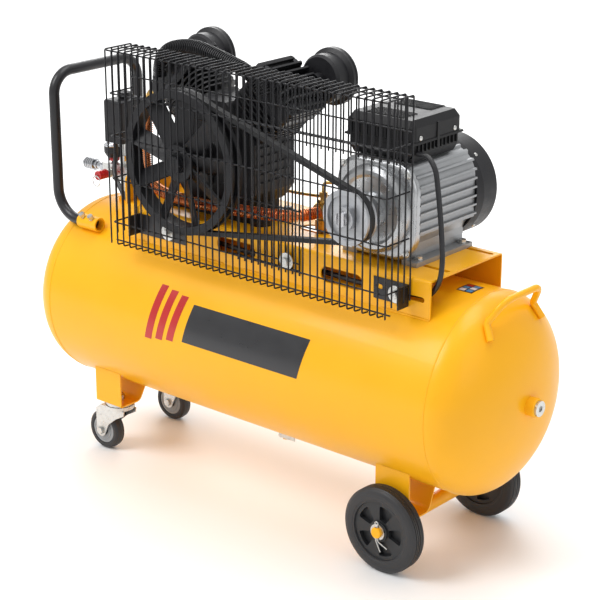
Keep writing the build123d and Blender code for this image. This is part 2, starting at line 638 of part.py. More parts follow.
def make_top_end(parts):
    cylinders, heads, plates, pistons, bolts = [], [], [], [], []
    for side in (-1, 1):
        frame = cylinder_frame(side)
        cylinders.append(frame * one_cylinder())
        heads.append(frame * one_head())
        plate = rounded_slab(112, 98, HEAD_FOOT - CYL_TOP, 10)
        plates.append(frame * Pos(0, 0, (CYL_TOP + HEAD_FOOT) / 2) * plate)
        pistons.append(frame * one_piston())
        for x in (-40, 40):
            for y in (-38, 38):
                bolts.append(frame * bolt_z(x, y, HEAD_BODY, 10, 6, 6))
    parts["cylinders"] = cylinders
    parts["pump_heads"] = heads
    parts["valve_plates"] = plates
    parts["pistons"] = pistons
    return bolts


def make_crank(parts):
    pin_z = CRANK_THROW
    shaft = cyl_y(0, -166, -18, 0, 12.5) + cyl_y(0, 18, CASE_REAR + 3, 0, 14.5)
    shaft += cyl_y(0, -16, 16, pin_z, 10)
    for y0, y1 in ((-22, -14), (14, 22)):
        web = cyl_y(0, y0, y1, pin_z, 16) + cyl_y(0, y0, y1, 0, 20)
        lower = cyl_y(0, y0, y1, 0, 44) - block(-60, 60, y0 - 1, y1 + 1, -8, 60)
        shaft += web + lower + block(-16, 16, y0, y1, -20, pin_z)
    front = facing_front(extrude(RegularPolygon(15, 6, major_radius=False), 8), 0, -158, 0)
    sleeve = cyl_y(0, BELT_Y - 13, BELT_Y + 13, 0, 14)
    collar = cyl_y(0, -158, BELT_Y - 13, 0, 18) + cyl_y(0, BELT_Y + 13, BELT_Y + 20, 0, 18)
    shaft += front + collar + sleeve
    parts["crankshaft"] = Pos(CRANK_X, 0, CRANK_Z) * shaft

    rods = []
    for side, y0 in ((-1, 1.0), (1, -12.0)):
        y1 = y0 + 11
        rod = cyl_y(0, y0, y1, 0, 16) + cyl_y(0, y0, y1, ROD_LENGTH, 7)
        rod += block(-6, 6, y0 + 1.5, y1 - 1.5, 0, ROD_LENGTH)
        rod -= cyl_y(0, y0 - 1, y1 + 1, 0, 10 + RUNNING)
        rods.append(Pos(CRANK_X, 0, CRANK_Z + pin_z) * Rot(0, side * V_ANGLE, 0) * rod)
    parts["connecting_rods"] = rods


def make_filters(parts):
    filters = []
    for side in (-1, 1):
        x, _, z = on_cylinder_axis(side, 199, 8)
        cup = ring_profile(
            (
                (0, 0), (40, 0), (44, 5), (44, 30), (52, 34), (52, 40), (50, 41), (52, 42), (52, 46), (0, 46),
            )
        )
        neck = cyl_z(0, 0, -16, 4, 13) - block(-30, 30, -30, 30, -30, -16)
        housing = Pos(x, 58, z) * Rot(-90, 0, 0) * (cup + neck)
        filters.append(housing)
    parts["intake_filters"] = [f - parts["pump_heads"][i] for i, f in enumerate(filters)]


# ---------------------------------------------------------------- pipework


def make_pipes(parts):
    left = on_cylinder_axis(-1, 178, 0)
    right = on_cylinder_axis(1, 178, 0)
    cool_r = 12.0
    front = -HEAD_HALF_Y
    arch = (
        (left[0], front - 16, left[2]), (left[0] + 4, front - 19, 810), (left[0] + 82, front - 21, 834),
        (right[0] - 96, front - 20, 820), (right[0] - 14, front - 18, 798), (right[0], front - 16, right[2]),
    )
    body = tube(arch, largest_radii(arch), cool_r)
    ends = [cyl_y(x, front - 30, front, z, 15) for x, _, z in (left, right)]
    parts["intercooler_tube"] = body + ends[0] + ends[1]

    port = on_cylinder_axis(-1, 178, HEAD_HALF)
    start = (port[0] - 12, -38, port[2] - 20)
    route = (
        start, (-298, -50, 655), (-284, -66, 566), (-236, -76, 546),
        (-140, -80, 547), (-36, -78, 552), (44, -74, 558), (VALVE_X, -52, 560), (VALVE_X + 1, -17, 560),
    )
    parts["discharge_tube"] = tube(route, largest_radii(route), TUBE_OUT_R)

    elbow = tube(((port[0] + 1, -38, port[2] + 1), (port[0] - 12, -38, port[2] - 8), start), [5], 8.5)
    elbow += Pos(*start) * extrude(RegularPolygon(11, 6, major_radius=False), 12)
    elbow -= parts["pump_heads"][0]
    elbow -= parts["discharge_tube"]
    base = TANK_TOP_Z + 8
    valve = cyl_z(VALVE_X, 0, base, 580, 9) + hex_z(VALVE_X, 0, PLAT_TOP + 4, PLAT_TOP + 22, 27)
    valve += hex_z(VALVE_X, 0, 548, 574, 27)
    valve += cyl_y(VALVE_X, -17, 0, 560, 9)
    valve += facing_front(extrude(RegularPolygon(12.5, 6, major_radius=False), 9), VALVE_X, -8, 560)
    valve += cyl_z(VALVE_X, 0, 574, 592, 5.5) + hex_z(VALVE_X, 0, 584, 594, 14)
    valve -= parts["discharge_tube"]
    parts["brass_fittings"] = [elbow, valve]

    thin = (
        (VALVE_X, 0, 594), (VALVE_X, 0, 610), (VALVE_X + 22, 20, 610), (VALVE_X + 26, 62, 590),
        (VALVE_X - 10, 92, 566), (VALVE_X - 80, 96, 548), (-66, 93, 544), (-160, 95, 548), (-240, 90, 560),
        (-318, 74, 584), (-364, 48, 586), (-392, 16, 582), (-392, 16, SWITCH_Z0),
    )
    parts["unloader_tube"] = tube(thin, largest_radii(thin, 0.4), 3)


def make_controls(parts):
    x, z = MANIFOLD_X, MANIFOLD_Z
    block_body = rounded(block(-460, -388, -16, 16, z - 13, z + 15), Axis.Z, 4)
    riser = cyl_z(x, 0, TANK_TOP_Z + 8, z - 13, 11) + hex_z(x, 0, TANK_TOP_Z + 10, TANK_TOP_Z + 22, 26)
    neck = cyl_z(x, 0, z + 15, SWITCH_Z0, 8) + hex_z(x, 0, z + 24, z + 34, 20)
    parts["air_manifold"] = block_body + riser + neck

    body = rounded(block(-432, -384, -34, 34, SWITCH_Z0, SWITCH_Z1), Axis.Z, 6)
    body = fillet(body.edges().group_by(Axis.Z)[-1], 5)
    body -= block(-434, -382, -36, -33, SWITCH_Z0 + 17, SWITCH_Z0 + 18.5)
    parts["pressure_switch"] = body - cyl_z(x, 0, SWITCH_Z1 - 12, SWITCH_Z1 + 1, 9.3)
    knob = cyl_z(x, 0, SWITCH_Z1 - 11, SWITCH_Z1 + 6, 9)
    parts["switch_knob"] = knob + cyl_z(x, 0, SWITCH_Z1 + 4, SWITCH_Z1 + 12, 13)

    g0 = z + 15
    cup = ring_profile(((0, 12), (15, 12), (19.5, 20), (20, 36), (18.2, 36), (18.2, 33), (0, 33)))
    parts["gauge_body"] = Pos(GAUGE_X, 0, g0) * (cup + cyl_z(0, 0, 0, 12, 6) + hex_z(0, 0, 4, 9, 17))
    needle = block(-3, 14, -0.6, 0.6, 33.6, 34.4) + cyl_z(0, 0, 33.4, 35.4, 2.4)
    parts["gauge_needle"] = Pos(GAUGE_X, 0, g0) * needle

    coupler = cyl_x(-486, -460, 0, z, 7) + Pos(-472, 0, z) * Rot(0, 90, 0) * (
        extrude(RegularPolygon(9.5, 6, major_radius=False), 10)
    )
    coupler += cyl_x(-522, -486, 0, z, 8.5)
    coupler -= cyl_x(-523, -500, 0, z, 5)
    parts["coupler_body"] = coupler
    sleeve = cyl_x(-518, -494, 0, z, 11.5) - cyl_x(-519, -493, 0, z, 8.55)
    for k in range(4):
        sleeve -= Pos(-514 + 5 * k, 0, z) * Rot(0, 90, 0) * (Cylinder(13, 1.5) - Cylinder(10.7, 1.5))
    parts["coupler_sleeve"] = sleeve

    s = z - 4
    cap = cyl_y(GAUGE_X, -46, -24, s, 9)
    for k in range(3):
        cap -= facing_front(Cylinder(12, 1.6) - Cylinder(8.2, 1.6), GAUGE_X, -29 - 6 * k, s)
    cap += cyl_y(GAUGE_X, -24, -16, s, 6)
    cap -= cyl_y(GAUGE_X, -60, -40, s, 2.05)
    parts["safety_valve"] = cap
    ring = facing_front(Cylinder(2, 9), GAUGE_X, -46.5, s)
    ring += Pos(GAUGE_X, -50, s - 10) * Rot(90, 0, 0) * Torus(10, 0.9)
    parts["safety_ring"] = ring


# ---------------------------------------------------------------- motor lead


def make_lead(parts):
    radii = largest_radii(LEAD)
    print("motor lead radii", [round(r, 1) for r in radii])
    lead = tube(LEAD, radii, LEAD_R)
    length = FilletPolyline(*LEAD, radius=radii).length
    share = lead.volume / (math.pi * LEAD_R**2 * length)
    print("motor lead length", round(length), "volume share", round(share, 4))
    parts["motor_cable"] = lead


# ---------------------------------------------------------------- belt guard
def grille(wires):
    """Crossing wires welded into one solid."""
    return wires[0].fuse(*wires[1:])


def make_guard(parts):
    weld = 2 * WIRE_R - 0.5
    hook = 13.0
    top_low = GUARD_TOP - WIRE_R - 0.2
    f = GUARD_FRONT
    r = GUARD_REAR
    columns = [GUARD_X0 + k * GUARD_PITCH for k in range(41)]
    x0 = GUARD_X0 - WIRE_R
    x1 = GUARD_X1 + WIRE_R

    front = [cyl_z(x, f, GUARD_BOTTOM + 2, top_low, WIRE_R) for x in columns]
    front += [cyl_x(x0, x1, f + weld, z, WIRE_R) for z in GUARD_LEVELS]
    top = [cyl_y(x, f - WIRE_R, r + WIRE_R, GUARD_TOP, WIRE_R) for x in columns]
    top += [cyl_x(x0, x1, y, GUARD_TOP - weld, WIRE_R) for y in (f + 2 * weld, (f + r) / 2 + 7, r - 2 * weld)]

    rear = [cyl_z(x, r, GUARD_REAR_END, top_low, WIRE_R) for x in columns[1:-1]]
    tongue = []
    for x in columns:
        if TONGUE_X0 <= x <= TONGUE_X1:
            tongue.append(cyl_z(x, r, GUARD_BOTTOM + 6, GUARD_REAR_END - 0.2, WIRE_R))
    for z in (GUARD_LEVELS[0] + 20, 728, 712):
        rear.append(cyl_x(columns[1] - 5, columns[-2] + 5, r - weld, z, WIRE_R))
    for z in (GUARD_LEVELS[2], 494, 482):
        tongue.append(cyl_x(TONGUE_X0, TONGUE_X1, r - weld, z, WIRE_R))

    sides = []
    for x, inward in ((GUARD_X0, 1), (GUARD_X1, -1)):
        wires = [cyl_z(x, f + k * (r - f) / 4, GUARD_BOTTOM + 16, top_low, WIRE_R) for k in range(1, 5)]
        for z in GUARD_LEVELS:
            wires.append(cyl_y(x + inward * weld, f + 2 * weld, r + WIRE_R, z, WIRE_R))
        sides.append(grille(wires))

    hooks = [cyl_y(x, f - WIRE_R, f + hook + 2, GUARD_BOTTOM, WIRE_R) for x in columns[1:-1]]
    hooks.append(cyl_x(columns[1] - 5, columns[-2] + 5, f + hook, GUARD_BOTTOM + weld, WIRE_R))
    parts["guard_cage"] = [grille(w) for w in (front, top, rear, tongue, hooks)] + sides

    brackets = []
    for fold, away, x_bolt in ((GUARD_X0 + 4, 1, -194.5), (GUARD_X1 - 4, -1, 331.0)):
        far = -150.0 if away > 0 else 284.0
        x0, x1 = sorted((fold, far))
        plate = block(x0, x1, -PLAT_HALF_Y - 2, -PLAT_HALF_Y, 470, 508)
        x0, x1 = sorted((fold, fold + away * 2))
        plate += block(x0, x1, -131, -PLAT_HALF_Y, 470, 508)
        x_slot = far - away * 12
        plate -= slab_y(Pos(x_slot, 492) * obround(14, 9), -PLAT_HALF_Y - 5, -PLAT_HALF_Y + 5)
        brackets.append(plate)
    parts["guard_brackets"] = brackets


def make_fasteners(parts, zinc_parts, head_bolts):
    bolts = list(zinc_parts)
    for x, z in ((-194.5, 486), (97, 495), (331, 486)):
        head = cyl_z(0, 0, 0, 2, 15) + hex_z(0, 0, 2, 9, 13)
        stand = PLAT_HALF_Y + (2 if x != 97 else 7)
        bolts.append(facing_front(head, x, -stand, z))
    a = math.degrees(math.atan2(HANDLE_Y, HANDLE_Z - TANK_AXIS_Z))
    for x in (-408, -385):
        screw = Pos(x, -HANDLE_Y, HANDLE_Z) * Rot(a, 0, 0) * Pos(0, 0, SOCKET_R)
        head = screw * (cyl_z(0, 0, 0, 3, 5) + hex_z(0, 0, 3, 9, 10))
        bolts += both_sides(head)
    parts["frame_bolts"] = bolts
    pump = list(head_bolts)
    for side in (-1, 1):
        for y in (CASE_FRONT + 16, CASE_REAR - 16):
            pump.append(bolt_z(CRANK_X + side * 100, y, PLAT_TOP + 10, 13, 7, 10))
        for x, z in ((78, -40), (78, 10), (30, 74), (48, -72)):
            head = facing_front(cyl_z(0, 0, 0, 5, 6), CRANK_X + side * x, CASE_REAR + 8 + 5, CRANK_Z + z)
            pump.append(head)
    parts["pump_bolts"] = pump


# ---------------------------------------------------------------- assembly
def build():
    parts = {}
    plug = make_tank(parts)
    make_platform(parts)
    make_feet(parts)
    make_big_wheels(parts)
    make_casters(parts)
    make_handles(parts)
    motor_feet = make_motor(parts)
    make_terminal_box(parts)
    make_drive(parts)
    make_crankcase(parts)
    head_bolts = make_top_end(parts)
    make_crank(parts)
    make_filters(parts)
    make_pipes(parts)
    make_controls(parts)
    make_lead(parts)
    make_guard(parts)
    make_fasteners(parts, motor_feet + [plug], head_bolts)
    return parts


def as_compound(shape):
    pieces = shape if isinstance(shape, list) else [shape]
    solids = []
    for piece in pieces:
        solids += piece.solids()
    return solids[0] if len(solids) == 1 else Compound(children=solids)


def main():
    nodes = {name: as_compound(shape) for name, shape in build().items()}
    low = [min(getattr(n.bounding_box().min, axis) for n in nodes.values()) for axis in "XYZ"]
    high = [max(getattr(n.bounding_box().max, axis) for n in nodes.values()) for axis in "XYZ"]
    shift = Pos(-(low[0] + high[0]) / 2, -(low[1] + high[1]) / 2, -low[2])
    print("size", [round(b - a, 2) for a, b in zip(low, high)], "shift", shift.position)
    os.makedirs("parts", exist_ok=True)
    for name, node in nodes.items():
        export_step(shift * node, f"parts/{name}.step")
    print(len(nodes), "nodes")


main()
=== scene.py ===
import json
import math

import bmesh
import bpy
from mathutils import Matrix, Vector


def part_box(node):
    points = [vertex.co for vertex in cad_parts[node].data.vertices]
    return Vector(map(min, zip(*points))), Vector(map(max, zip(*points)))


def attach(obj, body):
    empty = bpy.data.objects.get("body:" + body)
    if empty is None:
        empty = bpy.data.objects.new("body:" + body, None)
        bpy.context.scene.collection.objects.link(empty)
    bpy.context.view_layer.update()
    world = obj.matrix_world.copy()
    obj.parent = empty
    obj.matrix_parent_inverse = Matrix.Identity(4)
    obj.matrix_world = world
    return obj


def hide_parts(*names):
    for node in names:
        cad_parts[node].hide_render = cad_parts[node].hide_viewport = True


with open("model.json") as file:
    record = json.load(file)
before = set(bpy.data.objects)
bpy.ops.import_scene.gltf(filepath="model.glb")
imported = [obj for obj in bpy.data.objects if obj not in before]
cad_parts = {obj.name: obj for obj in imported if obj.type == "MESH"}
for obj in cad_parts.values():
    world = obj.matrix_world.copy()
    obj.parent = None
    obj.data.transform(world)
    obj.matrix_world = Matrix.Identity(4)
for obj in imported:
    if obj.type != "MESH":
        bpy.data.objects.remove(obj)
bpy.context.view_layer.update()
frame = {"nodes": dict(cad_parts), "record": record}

NODES = frame["nodes"]
ROOT = "machine"

# Lengths below are millimetres about the point of the floor under the tank's centre: X runs along the
# tank towards the motor, Y away from the belt guard, and Z up. The belt guard is the front.
MM = 0.001
low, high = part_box("tank_shell")
TANK_MID_X = (low.x + high.x) / 2
TANK_R = (high.z - low.z) / 2 / MM
TANK_Z = (high.z + low.z) / 2 / MM
SHELL_HALF = (high.x - low.x) / 2 / MM


def at(x, y, z):
    """A point of the tank's own millimetre frame, in the shared frame in metres."""
    return Vector((TANK_MID_X + x * MM, y * MM, z * MM))


# ---------------------------------------------------------------- camera, floor, lights
CAMERA_PLACE = (2018.1, -2317.2, 1458.4)
CAMERA_AZIMUTH, CAMERA_DROP = 40.575, 19.474
CAMERA_LENS, CAMERA_SENSOR = 107.12, 36.0
FLOOR_SIZE = 40
FLOOR_COLOUR = (0.93, 0.93, 0.93, 1)
WORLD_STRENGTH = 0.70
AIM = (0, 0, 0.4)
BACK_PLACE = (-3.4, 4.2)
# Name, place and target in metres, size, power.
LIGHTS = (
    ("key", (-1.3, -2.4, 3.2), AIM, (1.8, 1.8), 80),
    ("fill", (3.4, -0.6, 1.8), AIM, (1.6, 2.4), 9),
    ("top", (0.2, 0.5, 3.6), AIM, (2.6, 1.6), 52),
    ("rim", (-2.2, 2.6, 1.8), AIM, (1.6, 1.6), 26),
    ("back", (*BACK_PLACE, 3.0), (*BACK_PLACE, 0), (6.0, 4.0), 110),
)


def make_camera():
    camera = bpy.data.objects.new("camera", bpy.data.cameras.new("camera"))
    bpy.context.scene.collection.objects.link(camera)
    camera.location = at(*CAMERA_PLACE)
    camera.rotation_euler = (math.radians(90 - CAMERA_DROP), 0, math.radians(CAMERA_AZIMUTH))
    camera.data.sensor_width = CAMERA_SENSOR
    camera.data.lens = CAMERA_LENS
    camera.data.clip_start = 0.05
    camera.data.clip_end = 100
    bpy.context.scene.camera = camera


def area_light(name, place, target, size, power):
    data = bpy.data.lights.new(name, "AREA")
    data.shape = "RECTANGLE"
    data.size, data.size_y = size
    data.energy = power
    light = bpy.data.objects.new(name, data)
    light.location = place
    way = Vector(target) - Vector(place)
    light.rotation_euler = way.to_track_quat("-Z", "Y").to_euler()
    bpy.context.scene.collection.objects.link(light)


def make_studio():
    bpy.ops.mesh.primitive_plane_add(size=FLOOR_SIZE, location=(0, 0, 0))
    floor = bpy.context.object
    floor.name = "studio_floor"
    material = bpy.data.materials.new("studio_floor")
    material.use_nodes = True
    shader = material.node_tree.nodes["Principled BSDF"]
    shader.inputs["Base Color"].default_value = FLOOR_COLOUR
    shader.inputs["Roughness"].default_value = 0.7
    floor.data.materials.append(material)
    world = bpy.data.worlds.new("studio")
    world.use_nodes = True
    background = world.node_tree.nodes["Background"]
    background.inputs["Color"].default_value = (1.0, 1.0, 1.0, 1)
    background.inputs["Strength"].default_value = WORLD_STRENGTH
    bpy.context.scene.world = world
    bpy.context.scene.view_settings.view_transform = "Standard"
    for light in LIGHTS:
        area_light(*light)


make_camera()
make_studio()


# ---------------------------------------------------------------- materials
COAT_ROUGHNESS = 0.08
NOISE_LOW, NOISE_HIGH = 0.3, 0.7
HOLLOW_LOW, HOLLOW_HIGH = 0.2, 0.9
HOLLOW_SAMPLES = 4
# Factor of the colour in the painted shade of hollows.
HOLLOW_SHADE_TONE = 0.3
RELIEF_DEPTH = 0.0006


def surface(name, colour, rough, metal=0.0, spread=0.04, rough_spread=0.08, scale=60.0, bump=0.0,
            bump_scale=400.0, coat=0.0, hollow_shade=0.0, reach=0.012, brushed=None, specular=0.5):
    """A procedural surface.

    Colour and roughness drift with noise by their spread. Painted shade darkens the colour in hollows
    out to reach, in metres. Bump is the strength of a fine grain, and brushed stretches the noise.
    """
    material = bpy.data.materials.new(name)
    material.use_nodes = True
    tree = material.node_tree
    nodes, links = tree.nodes, tree.links
    shader = nodes["Principled BSDF"]
    shader.inputs["Metallic"].default_value = metal
    shader.inputs["Coat Weight"].default_value = coat
    shader.inputs["Coat Roughness"].default_value = COAT_ROUGHNESS
    shader.inputs["Specular IOR Level"].default_value = specular
    place = nodes.new("ShaderNodeTexCoord")
    stretch = nodes.new("ShaderNodeMapping")
    links.new(place.outputs["Object"], stretch.inputs["Vector"])
    if brushed:
        stretch.inputs["Scale"].default_value = brushed

    drift = nodes.new("ShaderNodeTexNoise")
    drift.inputs["Scale"].default_value = scale
    drift.inputs["Detail"].default_value = 6
    links.new(stretch.outputs["Vector"], drift.inputs["Vector"])

    tint = nodes.new("ShaderNodeValToRGB")
    dark = [c * (1 - spread) for c in colour]
    light = [min(1.0, c * (1 + spread)) for c in colour]
    tint.color_ramp.elements[0].position = NOISE_LOW
    tint.color_ramp.elements[0].color = (*dark, 1)
    tint.color_ramp.elements[1].position = NOISE_HIGH
    tint.color_ramp.elements[1].color = (*light, 1)
    links.new(drift.outputs["Fac"], tint.inputs["Fac"])
    colour_out = tint.outputs["Color"]
    # Painted shade: ambient occlusion darkens the colour in hollows and between parts, down to a dark
    # copy of the colour.
    if hollow_shade:
        hollow = nodes.new("ShaderNodeAmbientOcclusion")
        hollow.inputs["Distance"].default_value = reach
        hollow.samples = HOLLOW_SAMPLES
        ramp = nodes.new("ShaderNodeMapRange")
        ramp.inputs["From Min"].default_value = HOLLOW_LOW
        ramp.inputs["From Max"].default_value = HOLLOW_HIGH
        ramp.inputs["To Min"].default_value = 1 - hollow_shade
        ramp.inputs["To Max"].default_value = 1.0
        links.new(hollow.outputs["AO"], ramp.inputs["Value"])
        mix = nodes.new("ShaderNodeMix")
        mix.data_type = "RGBA"
        mix.inputs["A"].default_value = (*[c * HOLLOW_SHADE_TONE for c in colour], 1)
        links.new(ramp.outputs["Result"], mix.inputs["Factor"])
        links.new(colour_out, mix.inputs["B"])
        colour_out = mix.outputs["Result"]
    links.new(colour_out, shader.inputs["Base Color"])

    gloss = nodes.new("ShaderNodeMapRange")
    gloss.inputs["From Min"].default_value = NOISE_LOW
    gloss.inputs["From Max"].default_value = NOISE_HIGH
    gloss.inputs["To Min"].default_value = max(0.02, rough - rough_spread)
    gloss.inputs["To Max"].default_value = min(1.0, rough + rough_spread)
    links.new(drift.outputs["Fac"], gloss.inputs["Value"])
    links.new(gloss.outputs["Result"], shader.inputs["Roughness"])

    if bump:
        grain = nodes.new("ShaderNodeTexNoise")
        grain.inputs["Scale"].default_value = bump_scale
        grain.inputs["Detail"].default_value = 3
        links.new(stretch.outputs["Vector"], grain.inputs["Vector"])
        relief = nodes.new("ShaderNodeBump")
        relief.inputs["Strength"].default_value = bump
        relief.inputs["Distance"].default_value = RELIEF_DEPTH
        links.new(grain.outputs["Fac"], relief.inputs["Height"])
        links.new(relief.outputs["Normal"], shader.inputs["Normal"])
    return material


YELLOW = surface("yellow_paint", (0.90, 0.425, 0.006), 0.36, spread=0.025, scale=9, bump=0.05,
                 bump_scale=260, coat=0.08, specular=0.3)
YELLOW_WELD = surface("yellow_weld", (0.88, 0.41, 0.006), 0.42, bump=0.8, bump_scale=120, specular=0.3)
BLACK_PAINT = surface("black_paint", (0.012, 0.012, 0.014), 0.38, spread=0.15, bump=0.12, bump_scale=500,
                      coat=0.15, specular=0.4)
WIRE_BLACK = surface("guard_black", (0.008, 0.008, 0.010), 0.42, spread=0.15, bump=0.1, bump_scale=600,
                     specular=0.35)
CAST_BLACK = surface("cast_black", (0.009, 0.009, 0.011), 0.50, spread=0.25, bump=0.7, bump_scale=420,
                     coat=0.05, specular=0.4, hollow_shade=0.5)
PIPE_BLACK = surface("pipe_black", (0.014, 0.014, 0.016), 0.40, spread=0.2, bump=0.2, bump_scale=500,
                     specular=0.45, hollow_shade=0.8, reach=0.004)
CAST_ALU = surface("cast_aluminium", (0.52, 0.53, 0.55), 0.42, metal=0.9, spread=0.08, bump=0.5,
                   bump_scale=380, hollow_shade=0.35)
POLISHED = surface("turned_aluminium", (0.50, 0.51, 0.52), 0.30, metal=0.95, spread=0.07, bump=0.12,
                   bump_scale=90, hollow_shade=0.6)
MOTOR_GREY = surface("motor_grey", (0.38, 0.39, 0.40), 0.44, metal=0.6, spread=0.06, bump=0.4,
                     bump_scale=360, hollow_shade=0.6, reach=0.007)
STEEL = surface("steel", (0.50, 0.50, 0.52), 0.30, metal=1.0, spread=0.08, bump=0.2, bump_scale=240)
ZINC = surface("zinc", (0.62, 0.62, 0.60), 0.30, metal=1.0, spread=0.10, scale=130, bump=0.2,
               bump_scale=300, hollow_shade=0.3)
CHROME = surface("chrome", (0.50, 0.51, 0.53), 0.16, metal=1.0, spread=0.05, rough_spread=0.05,
                 bump=0.05, hollow_shade=0.5)
BRASS = surface("brass", (0.62, 0.40, 0.13), 0.28, metal=1.0, spread=0.12, bump=0.15,
                bump_scale=260, hollow_shade=0.4)
COPPER = surface("copper", (0.86, 0.32, 0.12), 0.26, metal=0.9, spread=0.16, bump=0.2, bump_scale=260,
                 hollow_shade=0.6, reach=0.003)
BLACK_PLASTIC = surface("black_plastic", (0.010, 0.010, 0.012), 0.44, spread=0.15, bump=0.35,
                        bump_scale=700, specular=0.4)
BOX_PLASTIC = surface("box_plastic", (0.008, 0.008, 0.009), 0.46, spread=0.1, rough_spread=0.03,
                      bump=0.25, bump_scale=900, specular=0.3, hollow_shade=0.5, reach=0.006)
HUB_PLASTIC = surface("hub_plastic", (0.016, 0.017, 0.019), 0.48, spread=0.15, bump=0.3, bump_scale=600)
TYRE = surface("tyre", (0.022, 0.022, 0.024), 0.50, spread=0.15, bump=0.35, bump_scale=520, specular=0.5)
BELT = surface("belt_rubber", (0.009, 0.009, 0.010), 0.62, spread=0.2, bump=0.6, bump_scale=520)
PVC = surface("pvc", (0.012, 0.012, 0.014), 0.36, spread=0.12, bump=0.15, bump_scale=500)
RED_PLASTIC = surface("red_plastic", (0.52, 0.012, 0.012), 0.32, bump=0.15, bump_scale=400, coat=0.2)
WINDINGS = surface("windings", (0.30, 0.25, 0.21), 0.5, metal=0.6, brushed=(1, 40, 1))
DIAL_WHITE = surface("dial_white", (0.80, 0.80, 0.78), 0.4, spread=0.02)
DIAL_BLACK = surface("dial_black", (0.015, 0.015, 0.015), 0.4)
DARK_STEEL = surface("dark_steel", (0.055, 0.055, 0.060), 0.36, metal=0.8, spread=0.15, bump=0.2,
                     bump_scale=300)
CASTER_GREY = surface("caster_grey", (0.30, 0.31, 0.32), 0.42, spread=0.08, bump=0.2,
                      bump_scale=400, hollow_shade=0.4, reach=0.005)
DECAL_DARK = surface("decal_dark", (0.016, 0.016, 0.018), 0.32, coat=0.2, spread=0.08, scale=30)
DECAL_RED = surface("decal_red", (0.46, 0.012, 0.010), 0.32, coat=0.2, spread=0.06, scale=30)
DECAL_BLUE = surface("decal_blue", (0.02, 0.22, 0.42), 0.32, coat=0.2, spread=0.06, scale=30)
DECAL_PALE = surface("decal_pale", (0.62, 0.62, 0.60), 0.34, coat=0.2, spread=0.04, scale=30)

BY_SLOT = {
    "yellow_paint": YELLOW,
    "black_paint": BLACK_PAINT,
    "black_wire": WIRE_BLACK,
    "cast_iron_black": CAST_BLACK,
    "cast_grey": CAST_ALU,
    "polished": POLISHED,
    "motor_grey": MOTOR_GREY,
    "steel": STEEL,
    "zinc": ZINC,
    "chrome": CHROME,
    "brass": BRASS,
    "copper": COPPER,
    "black_plastic": BLACK_PLASTIC,
    "grey_plastic": BOX_PLASTIC,
    "red_plastic": RED_PLASTIC,
    "hub_plastic": HUB_PLASTIC,
    "tyre": TYRE,
    "belt_rubber": BELT,
    "windings": WINDINGS,
    "pvc": PVC,
    "dial": DIAL_WHITE,
}

# Nodes whose finish differs from their slot's.
BY_NODE = {
    "valve_plates": DARK_STEEL,
    "pump_bolts": DARK_STEEL,
    "switch_knob": BLACK_PLASTIC,
    "motor_pulley": CAST_ALU,
}


def paint_cad_nodes():
    for entry in frame["record"]["subparts"]:
        node = NODES[entry["node"]]
        material = BY_NODE.get(entry["node"], BY_SLOT[entry["material_slot"]])
        node.data.materials.clear()
        node.data.materials.append(material)


paint_cad_nodes()


# ---------------------------------------------------------------- mesh helpers
CORNER_STEPS = 5
CORNER_SHARE = 0.48
BAR_BEVEL = 2
ROUTE_STEPS = 12
FIN_SIDES = 20


def finish_piece(piece, material, slot, body=ROOT, replaced=(), smooth=True):
    """Give a new piece its material and body, and hide the CAD nodes it stands in for; slot is not used.
    """
    piece.data.materials.append(material)
    if smooth and piece.type == "MESH":
        piece.data.polygons.foreach_set("use_smooth", [True] * len(piece.data.polygons))
    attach(piece, body)
    if replaced:
        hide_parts(*replaced)
    return piece


def mesh_piece(name, verts, faces, material, slot, **how):
    """A piece from points of the shared frame and faces that index them."""
    mesh = bpy.data.meshes.new(name)
    mesh.from_pydata([tuple(v) for v in verts], [], faces)
    mesh.update()
    piece = bpy.data.objects.new(name, mesh)
    bpy.context.scene.collection.objects.link(piece)
    return finish_piece(piece, material, slot, **how)


def bent(points, radius):
    """Straight runs in the tank's frame with a round bend at each corner, in the shared frame."""
    points = [at(*p) for p in points]
    radius *= MM
    out = [points[0]]
    for before, corner, after in zip(points, points[1:], points[2:]):
        u = (before - corner).normalized()
        v = (after - corner).normalized()
        half = u.angle(v) / 2
        shorter = min((before - corner).length, (after - corner).length)
        reach = min(radius / math.tan(half), CORNER_SHARE * shorter)
        for k in range(CORNER_STEPS + 1):
            t = k / CORNER_STEPS
            a = corner + u * reach * (1 - t)
            b = corner + v * reach * t
            out.append(a.lerp(b, t))
    out.append(points[-1])
    return out


def bent_bars(name, paths, radius, material, slot, **how):
    """Round bars along lists of points of the shared frame, all in one piece."""
    data = bpy.data.curves.new(name, "CURVE")
    data.dimensions = "3D"
    data.bevel_depth = radius * MM
    data.bevel_resolution = BAR_BEVEL
    data.use_fill_caps = True
    for path in paths:
        spline = data.splines.new("POLY")
        spline.points.add(len(path) - 1)
        for point, place in zip(spline.points, path):
            point.co = (*place, 1)
        spline.use_smooth = True
    piece = bpy.data.objects.new(name, data)
    bpy.context.scene.collection.objects.link(piece)
    return finish_piece(piece, material, slot, **how)


def smooth_route(points):
    """A quadratic B-spline with these control points of the tank's frame, in the shared frame."""
    points = [at(*p) for p in points]
    out = [points[0]]
    last = len(points) - 2
    for i, (before, corner, after) in enumerate(zip(points, points[1:], points[2:]), 1):
        a = before if i == 1 else (before + corner) / 2
        b = after if i == last else (corner + after) / 2
        for k in range(1, ROUTE_STEPS + 1):
            t = k / ROUTE_STEPS
            out.append(a * (1 - t) ** 2 + corner * 2 * t * (1 - t) + b * t * t)
    return out


def even_stations(path, step):
    """Points and directions every step along a path."""
    stations = []
    left = 0.0
    for a, b in zip(path, path[1:]):
        run = (b - a).length
        way = (b - a) / run
        while left < run:
            stations.append((a + way * left, way))
            left += step
        left -= run
    return stations


